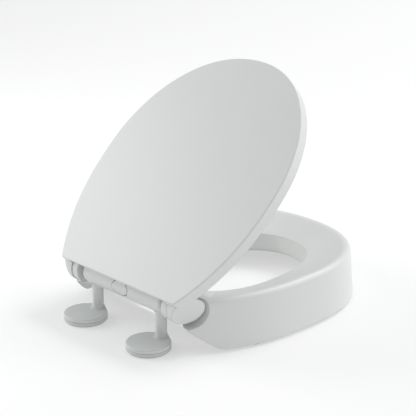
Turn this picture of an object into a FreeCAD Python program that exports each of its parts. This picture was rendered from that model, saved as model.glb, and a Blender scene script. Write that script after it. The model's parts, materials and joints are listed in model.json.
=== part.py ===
import FreeCAD, Part
import math
import os

# Raised toilet seat with a lid, on a two-disc quick-release hinge.
# Millimetres. -Y is the front, +Y is the rear (hinge side), +Z is up.
# Left (-X) and right (+X) are as seen from the front, looking towards the hinge.
# The origin lies midway between the two fixing bolts, on the plane of the bowl's rim.

Vector = FreeCAD.Vector
ORIGIN = Vector(0, 0, 0)
ALONG_X = Vector(1, 0, 0)
ALONG_Y = Vector(0, 1, 0)
ALONG_Z = Vector(0, 0, 1)

# ---------------------------------------------------------------- driving dimensions
FIXING_X = 71.4             # half the distance between the two fixing bolts
HINGE_Y = -24.3             # hinge axis, ahead of the bolts
HINGE_Z = 67.9              # hinge axis, above the bowl's rim
LID_ANGLE = 44.0            # the lid stands this far open at rest

DISC_R = 32.5
DISC_TOP = 12.2
PAD_THICKNESS = 1.5
PAD_INSET = 2.0             # the pad's edge stands this far inside the disc's
BASE_TOP = 6.5
CAP_WALL = 2.4
DISC_EDGE_CHAMFER = 0.6
DISC_TOP_ROUNDING = 2.0
SLOT_HALF_WIDTH = 4.5
SLOT_LENGTH = 24.0
COLLAR_R = 12.0
COLLAR_HEIGHT = 1.2
COLLAR_DRAFT = 1.0          # the collar narrows by this much over its height

POST_R = 8.2
POST_FOOT_R = 10.2
POST_FOOT_HEIGHT = 5.0
PIN_R = 4.0
PIN_NECK_R = 2.6
PIN_FLANGE_R = 5.5
PIN_FLANGE_HEIGHT = 2.0
PIN_HEAD_HEIGHT = 3.0
PIN_HEAD_CHAMFER = 1.0
PIN_NECK_GAP = 0.4          # above and below the latch plate
PIN_THREAD_DEPTH = 9.0
PIN_SCREW_R = 2.5
PIN_SCREW_HEAD_R = 5.0
PIN_SCREW_HEAD_HEIGHT = 2.0
PIN_SCREW_REACH = 8.0       # above the disc base
DRIVE_R = 1.8
DRIVE_DEPTH = 1.2
RUNNING_GAP = 0.05          # radial, a shaft in its bearing
LOOSE_GAP = 0.3             # between pieces that only pass each other
PAST = 1.0                  # how far a cutter runs past the face it opens

BAR_R = 17.2
BAR_WALL = 2.5
BAR_OVERHANG = 15.6         # the bar runs this far past each post
BAR_HALF_LENGTH = FIXING_X + BAR_OVERHANG
BAR_END_WALL = 5.0
BAR_END_ROUNDING = 5.0
RIB_STATIONS = (31.0, 54.0)
RIB_THICKNESS = 2.0
BAR_SCREW_MARGIN = 10.0     # from the outer screws to the bar's ends
BAR_SCREW_X = (22.0, BAR_HALF_LENGTH - BAR_SCREW_MARGIN)
BAR_SCREW_DZ = 10.5
BAR_SCREW_R = 1.5
BAR_BOSS_R = 3.2
BAR_SCREW_HEAD_R = 2.6
BAR_HEAD_ROOM_R = 2.8
BAR_SCREW_HEAD_HEIGHT = 2.0
BAR_SCREW_HEAD_Y = -8.0     # face under the screws' heads, from the hinge axis
BAR_SCREW_TIP_Y = 8.5
BAR_PILOT_Y = 9.0
PIN_ROOM_TOP_DZ = -8.0      # the pins' rooms in the posts end here

SHAFT_R = 5.0
SHAFT_INNER_X = 38.0
BUSH_R = 7.5
DAMPER_R = 9.5
DAMPER_INNER_X = 26.0
DAMPER_OUTER_X = 60.0
DAMPER_BORE_DEPTH_GAP = 0.5

LATCH_DZ = -12.6            # underside of the latch plate, from the hinge axis
LATCH_THICKNESS = 2.8
LATCH_HALF_WIDTH = 6.5
LATCH_TRAVEL = 4.0
LATCH_SIDE_GAP = 0.5
RIB_PASSAGE_OVERLAP = 2.5   # the latch's way through a rib opens into the damper's seat
LATCH_KEYHOLE_GAP = 0.4
LATCH_INNER_X = 2.3
LATCH_END_GAP = 0.6         # left inside the bar when the latch is drawn right out
LATCH_END_MARGIN = BAR_OVERHANG - BAR_END_WALL - LATCH_TRAVEL - LATCH_END_GAP
TAB_INNER_X = 11.0
TAB_THICKNESS = 2.0
TAB_HALF_WIDTH = 3.0
TAB_TOP_DZ = -3.0
LATCH_SPRING_DZ = -5.6
LATCH_SPRING_R = 2.5

BUTTON_HALF_WIDTH = 17.0
BUTTON_HALF_HEIGHT = 10.5
BUTTON_DZ = 1.0
BUTTON_PROUD = 0.4
BUTTON_THICKNESS = 3.4
BUTTON_GAP = 0.9
BUTTON_DEPTH_Y = 2.0        # the oval opening is cut from here rearwards
STEM_HALF_WIDTH = 4.0
STEM_FRONT_Y = 4.0
STEM_TOP_DZ = -4.0
ARM_UNDER_DZ = -8.0
ARM_END_Y = 13.8
WEDGE_TIP_Y = -2.0          # from the hinge axis
WEDGE_ROOT_Y = 7.0
WEDGE_TIP_HALF_WIDTH = 2.0
SPRING_DZ = 3.0
SPRING_R = 4.0
SPRING_WIRE = 0.8
SPRING_SEAT_R = 5.0
SPRING_REAR_Y = 11.8
SPRING_FRONT_Y = -12.6

KNUCKLE_GAP = 7.0           # between the bar's end and the seat's knuckle
KNUCKLE_WIDTH = 11.7
KNUCKLE_R = 20.5
EAR_GAP = 1.3               # between the seat's knuckle and the lid's ear
EAR_R = 21.5
EAR_INSET = 0.3             # the ear's outer face stands this far inside the lid's rim
SHAFT_IN_EAR = 13.0
KNUCKLE_INNER_X = BAR_HALF_LENGTH + KNUCKLE_GAP
KNUCKLE_OUTER_X = KNUCKLE_INNER_X + KNUCKLE_WIDTH
EAR_INNER_X = KNUCKLE_OUTER_X + EAR_GAP
SHAFT_OUTER_X = EAR_INNER_X + SHAFT_IN_EAR

LID_TOP = 29.7              # above the hinge axis with the lid closed
LID_UNDERSIDE = 11.9
LID_SKIN = 3.5
LID_WALL = 3.5
LID_EDGE_ROUNDING = 1.5
LID_CORNER_R = 6.0

SEAT_TOP = 79.1
SEAT_BOTTOM = 4.0
SKIRT_FLARE = 6.4           # the skirt's foot stands this far outside its top edge
SEAT_WALL = 4.0
REAR_TRIM = 4.0             # the blank is made this much too long at the rear, then trimmed
SHOULDER_R = 7.0
DISH_EDGE_R = 8.0           # where the flat shoulder turns down into the dish
REAR_EDGE_R = 2.5           # along the top of the rear wall between the arms
SKIRT_FOOT_R = 1.5
SHOULDER_WIDTH = 10.0       # from the skirt's top edge to where the seat begins to fall
DISH_BOTTOM = 52.3          # height of the hole's upper edge
DISH_OVERRUN = 0.07         # share of the fall by which its cutter runs past both edges
LIP_WALL = 3.5
COVER_TOP = 25.0
COVER_THICKNESS = 2.5
POCKET_R = 29.0             # clearance in the seat's rear corners for the lid's ears
POCKET_TOP_REACH = 27.1     # where the pocket's opening meets the seat's top, from the axis
POCKET_TOP_DZ = 10.0
ARM_STEP = 2.0              # from the arm's inner face to its knuckle
ARM_INNER_X = KNUCKLE_INNER_X - ARM_STEP
ARM_REAR_Y = -27.3
ARM_TIP_Z = 35.5
ARM_HEEL = (-50.0, 15.9)    # (y, z) where the arm's sloped underside begins to round off
ARM_HEEL_Y = -63.8          # where the slope would meet the seat's foot without rounding
ARM_FOOT_Y = -80.0          # where the rounding ends
HEEL_FACETS = 6
# (y, x at the skirt, z at the skirt, z at the arm's inner face): the hollow under each arm
ARM_HOLLOW = ((-10.0, 128.0, 42.0, 49.0), (-27.3, 130.0, 34.5, 46.5), (-42.0, 150.0, 22.0, 44.0),
              (-58.0, 165.0, 11.0, 39.0), (-67.0, 172.0, 9.0, 34.0), (-88.0, 185.0, 22.4, 22.4))
SEAT_REAR_Y = -52.0
CAVITY_REAR_Y = -60.3
MIDDLE_WALL = 5.0           # thickness of the seat's rear wall between its arms
MID_REAR_Z = 42.0
MID_REAR_END_Y = -88.0

BUMPER_SPOTS = ((161.5, -128.5), (112.0, -335.0))   # seat bumpers, right-hand side
BUMPER_SIZE = (11.0, 21.0, 9.0)
BUMPER_LEG_SIZE = (9.0, 18.0)
BUMPER_CORNER_R = 3.0
BUMPER_STEM_R = 2.5
BUMPER_STEM_HEIGHT = 6.0
COVER_SCREW_SPOTS = ((128.0, -110.0), (140.0, -205.0), (122.0, -300.0), (55.0, -388.0))
COVER_SCREW_R = 1.75
COVER_SCREW_HEAD_R = 3.6
COVER_SCREW_HEAD_HEIGHT = 2.0
COVER_SCREW_DEPTH = 16.0
BOSS_R = 5.0
BOSS_ROOT = 1.2             # how far a boss runs into the wall it stands on

LID_BUMPER_SPOTS = ((140.0, 130.0), (88.0, 325.0))   # half spacing, distance ahead of the hinge
LID_BUMPER_R = 6.0
LID_BUMPER_HEIGHT = 7.0
LID_BUMPER_GAP = 0.4
LID_BUMPER_ROUNDING = 1.5
LID_BOSS_LEDGE = 1.5        # the boss is this much wider than its bumper
LID_REAR_MARGIN = 6.0       # the lid's hollow starts this far ahead of the ears
LID_BAR_GAP = 1.5           # between the lid's rear edge and the bar it turns round
LID_KNUCKLE_GAP = 1.0
# (distance ahead of the hinge, height above it) of the undercut in the closed lid's rear edge
LID_UNDERCUT = ((-6.3, 27.5), (0.5, 18.0), (0.5, 0.0), (-10.0, 0.0), (-10.0, 27.5))
BORE_END_GAP = 0.5

FAR = 300.0                 # longer than any piece, for cutting blocks


class Outline:
    """A seat-shaped outline: straight rear edge, curved flanks, superelliptic nose.

    Distances along it are measured ahead of the hinge axis."""

    def __init__(self, rear, rear_half, widest, half, front, nose_along, nose_side, flank_power):
        self.rear = rear
        self.rear_half = rear_half
        self.widest = widest
        self.half = half
        self.front = front
        self.nose_along = nose_along
        self.nose_side = nose_side
        self.flank_power = flank_power

    def flank(self, along):
        """Half width behind the widest section."""
        run = (self.widest - along) / (self.widest - self.rear)
        return self.half - (self.half - self.rear_half) * run ** self.flank_power

    def side(self, inset, start, flank_steps=8, nose_steps=12):
        """(x, along) points of the right side, from the rear corner to the nose."""
        points = []
        for i in range(flank_steps):
            along = start + (self.widest - start) * i / flank_steps
            points.append((self.flank(along) - inset, along))
        for i in range(nose_steps + 1):
            angle = math.pi / 2 * i / nose_steps
            reach = math.sin(angle) ** (2 / self.nose_along)
            width = max(math.cos(angle), 0.0) ** (2 / self.nose_side)
            along = self.widest + (self.front - inset - self.widest) * reach
            points.append(((self.half - inset) * width, along))
        points[-1] = (0.0, self.front - inset)
        return points


SEAT = Outline(27.7, 138.6, 191.8, 174.9, 389.2, 2.48, 2.24, 2.56)
LID = Outline(-6.3, 125.2, 189.7, 178.9, 391.2, 2.02, 2.11, 2.41)

ROUND_PIECES = 8            # edges that the round run of an outline is made of

HOLE_CENTRE = 189.7         # ahead of the hinge axis
HOLE_HALF_WIDTH = 98.6
HOLE_FRONT = 151.3          # from the hole's centre to its front
HOLE_REAR = 116.4
HOLE_POWER = 2.28


# ---------------------------------------------------------------- small helpers
def box(x0, x1, y0, y1, z0, z1):
    return Part.makeBox(x1 - x0, y1 - y0, z1 - z0, Vector(x0, y0, z0))


def rod_x(radius, x0, x1, y=HINGE_Y, z=HINGE_Z):
    return Part.makeCylinder(radius, x1 - x0, Vector(x0, y, z), ALONG_X)


def rod_y(radius, x, y0, y1, z):
    return Part.makeCylinder(radius, y1 - y0, Vector(x, y0, z), ALONG_Y)


def rod_z(radius, x, y, z0, z1):
    return Part.makeCylinder(radius, z1 - z0, Vector(x, y, z0), ALONG_Z)


def prism_x(points, x0, x1):
    """A polygon of (y, z) points, from x0 to x1."""
    corners = [Vector(x0, y, z) for y, z in points]
    face = Part.Face(Part.makePolygon(corners + corners[:1]))
    return face.extrude(Vector(x1 - x0, 0, 0))


def prism_z(points, z0, z1):
    """A polygon of (x, y) points, from z0 to z1."""
    corners = [Vector(x, y, z0) for x, y in points]
    face = Part.Face(Part.makePolygon(corners + corners[:1]))
    return face.extrude(Vector(0, 0, z1 - z0))


def slot_z(x, y, length, half_width, z0, z1):
    """A round-ended slot along X."""
    reach = length / 2 - half_width
    left = rod_z(half_width, x - reach, y, z0, z1)
    right = rod_z(half_width, x + reach, y, z0, z1)
    middle = box(x - reach, x + reach, y - half_width, y + half_width, z0, z1)
    return middle.fuse([left, right]).removeSplitter()


def mirrored(shape):
    return shape.mirror(ORIGIN, ALONG_X)


def both_sides(shape):
    return shape.fuse(mirrored(shape))


def edges_on(shape, wire):
    """The edges that lie on a wire all the way along."""
    def lies_on(edge):
        span = edge.LastParameter - edge.FirstParameter
        places = [edge.valueAt(edge.FirstParameter + span * share) for share in (0.0, 0.3, 0.6, 1.0)]
        return all(wire.distToShape(Part.Vertex(place))[0] < 0.02 for place in places)
    return [edge for edge in shape.Edges if lies_on(edge)]


def edges_at(shape, test):
    return [edge for edge in shape.Edges if test(edge)]


def smooth_edges(points, z, parameters, pieces):
    """A curve through (x, along) points at one height, as edges that follow on smoothly."""
    curve = Part.BSplineCurve()
    vectors = [Vector(x, HINGE_Y - along, z) for x, along in points]
    curve.interpolate(Points=vectors, Parameters=parameters)
    step = (len(points) - 1) // pieces
    joints = parameters[::step]
    edges = []
    for start, end in zip(joints, joints[1:]):
        piece = curve.copy()
        piece.segment(start, end)
        edges.append(piece.toShape())
    return edges


def chord_parameters(points):
    total = [0.0]
    for a, b in zip(points, points[1:]):
        total.append(total[-1] + math.dist(a, b))
    return [value / total[-1] for value in total]


def around(side):
    """The whole run of points from the right rear corner, round the nose, to the left."""
    return side + [(-x, along) for x, along in reversed(side[:-1])]


def rear_run(side, steps=6):
    """Points along the straight rear edge, from the left corner to the right one."""
    half, along = side[0]
    return [(-half + 2 * half * i / steps, along) for i in range(steps + 1)]


def loop(rear, run, z, rear_parameters, round_parameters):
    return Part.Wire(smooth_edges(rear, z, rear_parameters, 1)
                     + smooth_edges(run, z, round_parameters, ROUND_PIECES))


def ruled_solid(rears, rounds, heights):
    """A solid between two loops, each a rear run and a round run, at two heights."""
    rear_parameters = chord_parameters(rears[-1])
    round_parameters = chord_parameters(rounds[-1])
    wires = [loop(rear, run, z, rear_parameters, round_parameters)
             for rear, run, z in zip(rears, rounds, heights)]
    return Part.makeLoft(wires, True, True)


def outline_solid(outline, insets, start, heights):
    sides = [outline.side(inset, start) for inset in insets]
    return ruled_solid([rear_run(side) for side in sides], [around(side) for side in sides], heights)


def hole_point(x, along, grow=0.0):
    """The point of the hole's edge in the direction of (x, along) from its centre."""
    dx = x
    dy = along - HOLE_CENTRE
    reach = (HOLE_FRONT if dy > 0 else HOLE_REAR) + grow
    scale = (abs(dx) / (HOLE_HALF_WIDTH + grow)) ** HOLE_POWER + (abs(dy) / reach) ** HOLE_POWER
    scale = scale ** (-1 / HOLE_POWER)
    return dx * scale, HOLE_CENTRE + dy * scale


def hole_prism(grow, z0, z1):
    side = SEAT.side(SHOULDER_WIDTH, SEAT.rear + SHOULDER_WIDTH)
    rear = [hole_point(x, along, grow) for x, along in rear_run(side)]
    run = [hole_point(x, along, grow) for x, along in around(side)]
    return ruled_solid([rear, rear], [run, run], [z0, z1])


def dish_section(share):
    """The seat's falling top at a share of the way from the hole (0) to the shoulder (1)."""
    side = SEAT.side(SHOULDER_WIDTH, SEAT.rear + SHOULDER_WIDTH)
    runs = []
    for points in (rear_run(side), around(side)):
        holes = [hole_point(x, along) for x, along in points]
        runs.append([(hx + (x - hx) * share, ha + (a - ha) * share)
                     for (x, a), (hx, ha) in zip(points, holes)])
    return runs[0], runs[1], DISH_BOTTOM + (SEAT_TOP - DISH_BOTTOM) * share


def dish_solid(drop):
    low_rear, low_run, low_z = dish_section(-DISH_OVERRUN)
    high_rear, high_run, high_z = dish_section(1 + DISH_OVERRUN)
    return ruled_solid([low_rear, high_rear], [low_run, high_run], [low_z - drop, high_z - drop])


def dish_height(x, along):
    """Height of the seat's top over one point, found along the line from the hole's centre."""
    hx, ha = hole_point(x, along)
    side = SEAT.side(SHOULDER_WIDTH, SEAT.rear + SHOULDER_WIDTH)
    bearing = math.atan2(abs(x), along - HOLE_CENTRE)
    nearest = min(side, key=lambda p: abs(math.atan2(p[0], p[1] - HOLE_CENTRE) - bearing))
    shoulder = math.dist(nearest, (0, HOLE_CENTRE))
    hole = math.dist((hx, ha), (0, HOLE_CENTRE))
    here = math.dist((x, along), (0, HOLE_CENTRE))
    return DISH_BOTTOM + (SEAT_TOP - DISH_BOTTOM) * (here - hole) / (shoulder - hole)


def opened(shape):
    """Turns a piece of the closed lid to its rest angle."""
    turned = shape.copy()
    turned.rotate(Vector(0, HINGE_Y, HINGE_Z), ALONG_X, -LID_ANGLE)
    return turned


def save(name, shape):
    shape.exportStep("parts/%s.step" % name)
    print(name, len(shape.Solids), shape.isValid(), round(shape.Volume))


def save_pair(name, right):
    save("right_" + name, right)
    save("left_" + name, mirrored(right))


# ---------------------------------------------------------------- discs on the bowl
def disc_pad():
    pad = rod_z(DISC_R - PAD_INSET, FIXING_X, 0, 0, PAD_THICKNESS)
    top = PAD_THICKNESS + PAST
    screw_room = rod_z(PIN_FLANGE_R, FIXING_X, HINGE_Y, -PAST, top)
    slot = slot_z(FIXING_X, 0, SLOT_LENGTH, SLOT_HALF_WIDTH, -PAST, top)
    return pad.cut([slot, screw_room])


def disc_base():
    base = rod_z(DISC_R, FIXING_X, 0, PAD_THICKNESS, BASE_TOP)
    base = base.makeChamfer(DISC_EDGE_CHAMFER, base.Edges)
    head_room = rod_z(PIN_FLANGE_R, FIXING_X, HINGE_Y, 0, PAD_THICKNESS + PIN_SCREW_HEAD_HEIGHT)
    screw_room = rod_z(PIN_SCREW_R, FIXING_X, HINGE_Y, 0, BASE_TOP + PAST)
    slot = slot_z(FIXING_X, 0, SLOT_LENGTH, SLOT_HALF_WIDTH, 0, BASE_TOP + PAST)
    return base.cut([slot, head_room, screw_room])


def disc_cap():
    cap = rod_z(DISC_R, FIXING_X, 0, BASE_TOP, DISC_TOP)
    lower = edges_at(cap, lambda e: abs(e.BoundBox.ZMax - BASE_TOP) < 0.01)
    cap = cap.makeChamfer(DISC_EDGE_CHAMFER, lower)
    upper = edges_at(cap, lambda e: abs(e.BoundBox.ZMin - DISC_TOP) < 0.01)
    cap = cap.makeFillet(DISC_TOP_ROUNDING, upper)
    collar = Part.makeCone(COLLAR_R, COLLAR_R - COLLAR_DRAFT, COLLAR_HEIGHT,
                           Vector(FIXING_X, HINGE_Y, DISC_TOP), ALONG_Z)
    inside_disc = rod_z(DISC_R - DISC_EDGE_CHAMFER, FIXING_X, 0, DISC_TOP - PAST,
                        DISC_TOP + COLLAR_HEIGHT)
    cap = cap.fuse(collar.common(inside_disc))
    hollow = rod_z(DISC_R - CAP_WALL, FIXING_X, 0, 0, DISC_TOP - CAP_WALL)
    pin_room = rod_z(PIN_R + RUNNING_GAP, FIXING_X, HINGE_Y, 0, DISC_TOP + COLLAR_HEIGHT + PAST)
    return cap.cut([hollow, pin_room])


def mounting_pin():
    neck_z = HINGE_Z + LATCH_DZ - PIN_NECK_GAP
    head_z = HINGE_Z + LATCH_DZ + LATCH_THICKNESS + PIN_NECK_GAP
    flange = rod_z(PIN_FLANGE_R, FIXING_X, HINGE_Y, BASE_TOP, BASE_TOP + PIN_FLANGE_HEIGHT)
    shank = rod_z(PIN_R, FIXING_X, HINGE_Y, BASE_TOP, neck_z)
    neck = rod_z(PIN_NECK_R, FIXING_X, HINGE_Y, neck_z, head_z)
    head = rod_z(PIN_R, FIXING_X, HINGE_Y, head_z, head_z + PIN_HEAD_HEIGHT)
    head = head.makeChamfer(PIN_HEAD_CHAMFER,
                            edges_at(head, lambda e: e.BoundBox.ZMin > head_z + 1))
    pin = flange.fuse([shank, neck, head])
    return pin.cut(rod_z(PIN_SCREW_R, FIXING_X, HINGE_Y, 0, BASE_TOP + PIN_THREAD_DEPTH))


def pin_screw():
    head_top = PAD_THICKNESS + PIN_SCREW_HEAD_HEIGHT
    head = rod_z(PIN_SCREW_HEAD_R, FIXING_X, HINGE_Y, PAD_THICKNESS, head_top)
    drive = rod_z(DRIVE_R, FIXING_X, HINGE_Y, 0, PAD_THICKNESS + DRIVE_DEPTH)
    shank = rod_z(PIN_SCREW_R, FIXING_X, HINGE_Y, head_top, BASE_TOP + PIN_SCREW_REACH)
    return head.fuse(shank).cut(drive)


# ---------------------------------------------------------------- hinge bar
def bar_tube():
    solid = rod_x(BAR_R, -BAR_HALF_LENGTH, BAR_HALF_LENGTH)
    ends = edges_at(solid, lambda e: e.BoundBox.XLength < 0.01)
    solid = solid.makeFillet(BAR_END_ROUNDING, ends)
    inner_end = BAR_HALF_LENGTH - BAR_END_WALL
    hollow = rod_x(BAR_R - BAR_WALL, -inner_end, inner_end)
    bore = rod_x(SHAFT_R + RUNNING_GAP, -FAR, FAR)
    return solid.cut([hollow, bore])


def bar_ribs():
    """Cradles that hold the two damper cartridges."""
    ribs = []
    for station in RIB_STATIONS:
        ring = rod_x(BAR_R - BAR_WALL / 2, station, station + RIB_THICKNESS)
        ring = ring.cut(rod_x(DAMPER_R, station - PAST, station + RIB_THICKNESS + PAST))
        passage = box(station - PAST, station + RIB_THICKNESS + PAST,
                      HINGE_Y - LATCH_HALF_WIDTH - LATCH_SIDE_GAP,
                      HINGE_Y + LATCH_HALF_WIDTH + LATCH_SIDE_GAP,
                      HINGE_Z - BAR_R, HINGE_Z - DAMPER_R + RIB_PASSAGE_OVERLAP)
        ring = ring.cut(passage)
        ribs.extend([ring, mirrored(ring)])
    return ribs


def bar_bosses():
    bosses = []
    for x in BAR_SCREW_X:
        for side in (-1, 1):
            reach = BAR_R - BAR_WALL / 2
            y = math.sqrt(reach ** 2 - BAR_SCREW_DZ ** 2)
            bosses.append(rod_y(BAR_BOSS_R, side * x, HINGE_Y - y, HINGE_Y + y,
                                HINGE_Z + BAR_SCREW_DZ))
    return bosses


def bar_screws(radius, head_radius, front_y, rear_y):
    screws = []
    for x in BAR_SCREW_X:
        for side in (-1, 1):
            z = HINGE_Z + BAR_SCREW_DZ
            shank = rod_y(radius, side * x, front_y, rear_y, z)
            head = rod_y(head_radius, side * x, front_y - BAR_SCREW_HEAD_HEIGHT, front_y, z)
            screws.append(shank.fuse(head))
    return screws


def bar_body():
    body = bar_tube().fuse(bar_ribs() + bar_bosses())
    return body.common(rod_x(BAR_R, -BAR_HALF_LENGTH, BAR_HALF_LENGTH))


def button_profile(grow):
    """The button's oval outline as a prism along Y."""
    ellipse = Part.Ellipse(Vector(0, 0, 0), BUTTON_HALF_WIDTH + grow, BUTTON_HALF_HEIGHT + grow)
    face = Part.Face(Part.Wire(ellipse.toShape()))
    face.rotate(ORIGIN, ALONG_X, 90)
    face.translate(Vector(0, HINGE_Y + BUTTON_DEPTH_Y, HINGE_Z + BUTTON_DZ))
    return face.extrude(Vector(0, BAR_R + BAR_WALL, 0))


def posts():
    foot_z = DISC_TOP + COLLAR_HEIGHT
    post = rod_z(POST_R, FIXING_X, HINGE_Y, foot_z, HINGE_Z)
    foot = Part.makeCone(POST_FOOT_R, POST_R, POST_FOOT_HEIGHT,
                         Vector(FIXING_X, HINGE_Y, foot_z), ALONG_Z)
    post = post.fuse(foot).cut(rod_x(BAR_R, 0, FAR))
    return both_sides(post)


def pin_rooms():
    return both_sides(rod_z(PIN_R + RUNNING_GAP, FIXING_X, HINGE_Y, 0, HINGE_Z + PIN_ROOM_TOP_DZ))


def hinge_bar_shell():
    rear_half = bar_body().common(box(-FAR, FAR, HINGE_Y, FAR, 0, FAR))
    rear_half = rear_half.cut(button_profile(BUTTON_GAP))
    shell = rear_half.fuse(posts())
    pilots = bar_screws(BAR_SCREW_R, BAR_SCREW_R, HINGE_Y + BAR_SCREW_HEAD_Y, HINGE_Y + BAR_PILOT_Y)
    return shell.cut([pin_rooms()] + pilots)


def hinge_bar_cover():
    front_half = bar_body().common(box(-FAR, FAR, -FAR, HINGE_Y, 0, FAR))
    spring_seat = rod_y(SPRING_SEAT_R, 0, HINGE_Y - BAR_R + BAR_WALL / 2,
                        HINGE_Y + SPRING_FRONT_Y, HINGE_Z + SPRING_DZ)
    front_half = front_half.fuse(spring_seat)
    head_y = HINGE_Y + BAR_SCREW_HEAD_Y
    screw_rooms = bar_screws(BAR_SCREW_R, BAR_HEAD_ROOM_R, head_y, HINGE_Y + BAR_PILOT_Y)
    head_rooms = bar_screws(BAR_HEAD_ROOM_R, BAR_HEAD_ROOM_R, HINGE_Y - BAR_R, head_y)
    return front_half.cut([pin_rooms()] + screw_rooms + head_rooms)


def damper_housing():
    housing = rod_x(DAMPER_R, DAMPER_INNER_X, DAMPER_OUTER_X)
    bore_start = SHAFT_INNER_X - DAMPER_BORE_DEPTH_GAP
    return housing.cut(rod_x(SHAFT_R + RUNNING_GAP, bore_start, DAMPER_OUTER_X + PAST))


def damper_shaft():
    return rod_x(SHAFT_R, SHAFT_INNER_X, SHAFT_OUTER_X)


def bush(x0, x1):
    return rod_x(BUSH_R, x0, x1).cut(rod_x(SHAFT_R + RUNNING_GAP, x0 - PAST, x1 + PAST))


# ---------------------------------------------------------------- quick release
def release_button():
    cap = button_profile(0).common(rod_x(BAR_R + BUTTON_PROUD, -FAR, FAR))
    cap = cap.cut(rod_x(BAR_R + BUTTON_PROUD - BUTTON_THICKNESS, -FAR, FAR))
    seat = rod_y(SPRING_SEAT_R, 0, HINGE_Y + SPRING_REAR_Y,
                 HINGE_Y + BAR_R + BUTTON_PROUD - BUTTON_THICKNESS + PAST, HINGE_Z + SPRING_DZ)
    stem = box(-STEM_HALF_WIDTH, STEM_HALF_WIDTH, HINGE_Y + STEM_FRONT_Y, HINGE_Y + WEDGE_ROOT_Y,
               HINGE_Z + LATCH_DZ, HINGE_Z + STEM_TOP_DZ)
    arm = box(-STEM_HALF_WIDTH, STEM_HALF_WIDTH, HINGE_Y + STEM_FRONT_Y, HINGE_Y + ARM_END_Y,
              HINGE_Z + ARM_UNDER_DZ, HINGE_Z + STEM_TOP_DZ)
    root_half = WEDGE_TIP_HALF_WIDTH + WEDGE_ROOT_Y - WEDGE_TIP_Y
    wedge = prism_z([(-WEDGE_TIP_HALF_WIDTH, HINGE_Y + WEDGE_TIP_Y),
                     (WEDGE_TIP_HALF_WIDTH, HINGE_Y + WEDGE_TIP_Y),
                     (root_half, HINGE_Y + WEDGE_ROOT_Y),
                     (-root_half, HINGE_Y + WEDGE_ROOT_Y)],
                    HINGE_Z + LATCH_DZ, HINGE_Z + LATCH_DZ + LATCH_THICKNESS)
    return cap.fuse([seat, stem, arm, wedge]).removeSplitter()


def latch_slider():
    """Plate whose keyhole grips the pin's neck; it slides outwards to let the pin go."""
    z0 = HINGE_Z + LATCH_DZ
    z1 = z0 + LATCH_THICKNESS
    outer = FIXING_X + LATCH_END_MARGIN
    face_x = LATCH_INNER_X + LATCH_HALF_WIDTH - WEDGE_TIP_Y
    plate = prism_z([(LATCH_INNER_X, HINGE_Y - LATCH_HALF_WIDTH),
                     (outer, HINGE_Y - LATCH_HALF_WIDTH),
                     (outer, HINGE_Y + LATCH_HALF_WIDTH),
                     (face_x, HINGE_Y + LATCH_HALF_WIDTH),
                     (LATCH_INNER_X, HINGE_Y + WEDGE_TIP_Y)], z0, z1)
    tab = box(TAB_INNER_X, TAB_INNER_X + TAB_THICKNESS,
              HINGE_Y - TAB_HALF_WIDTH, HINGE_Y + TAB_HALF_WIDTH, z0, HINGE_Z + TAB_TOP_DZ)
    low = z0 - PAST
    high = z1 + PAST
    wide = rod_z(PIN_R + LATCH_KEYHOLE_GAP, FIXING_X - LATCH_TRAVEL, HINGE_Y, low, high)
    grip_half = PIN_NECK_R + LOOSE_GAP
    grip = rod_z(grip_half, FIXING_X, HINGE_Y, low, high)
    run = box(FIXING_X - LATCH_TRAVEL, FIXING_X, HINGE_Y - grip_half, HINGE_Y + grip_half,
              low, high)
    return plate.fuse(tab).cut([wide, grip, run])


def spring_tube(length_axis, radius, start, length):
    tube = Part.makeCylinder(radius, length, start, length_axis)
    return tube.cut(Part.makeCylinder(radius - SPRING_WIRE, length, start, length_axis))


# ---------------------------------------------------------------- seat
def skirt_inset(z):
    """How far inside the seat's top outline the skirt's outer face stands at a height."""
    return -SKIRT_FLARE * (SEAT_TOP - z) / (SEAT_TOP - SEAT_BOTTOM)


def seat_blank():
    """Skirt and top before hollowing, with the shoulder and the foot rounded."""
    start = HINGE_Y - ARM_REAR_Y - REAR_TRIM
    blank = outline_solid(SEAT, [-SKIRT_FLARE, 0.0], start, [SEAT_BOTTOM, SEAT_TOP])
    top = edges_at(blank, lambda e: e.BoundBox.ZMin > SEAT_TOP - 0.5 and e.BoundBox.YLength > 1)
    blank = blank.makeFillet(SHOULDER_R, top)
    foot = edges_at(blank, lambda e: e.BoundBox.ZMax < SEAT_BOTTOM + 0.05 and e.BoundBox.YLength > 1)
    return blank.makeFillet(SKIRT_FOOT_R, foot)


def middle_profile(shift):
    """(y, z) profile of what is cleared behind the seat between its arms."""
    return [(SEAT_REAR_Y - shift, FAR), (SEAT_REAR_Y - shift, MID_REAR_Z + shift / 2),
            (MID_REAR_END_Y - shift, COVER_TOP - COVER_THICKNESS + shift / 2),
            (MID_REAR_END_Y - shift, -FAR), (FAR, -FAR), (FAR, FAR)]


def arm_underside():
    """(y, z) profile of what is cleared under the arms, rounded where it meets the foot."""
    heel = []
    for step in range(1, HEEL_FACETS + 1):
        share = step / HEEL_FACETS
        weights = ((1 - share) ** 2, 2 * share * (1 - share), share ** 2)
        corners = (ARM_HEEL, (ARM_HEEL_Y, SEAT_BOTTOM), (ARM_FOOT_Y, SEAT_BOTTOM))
        heel.append(tuple(sum(weight * corner[axis] for weight, corner in zip(weights, corners))
                          for axis in (0, 1)))
    return ([(FAR, ARM_TIP_Z), (ARM_REAR_Y, ARM_TIP_Z), ARM_HEEL] + heel
            + [(ARM_FOOT_Y, -FAR), (FAR, -FAR)])


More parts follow.
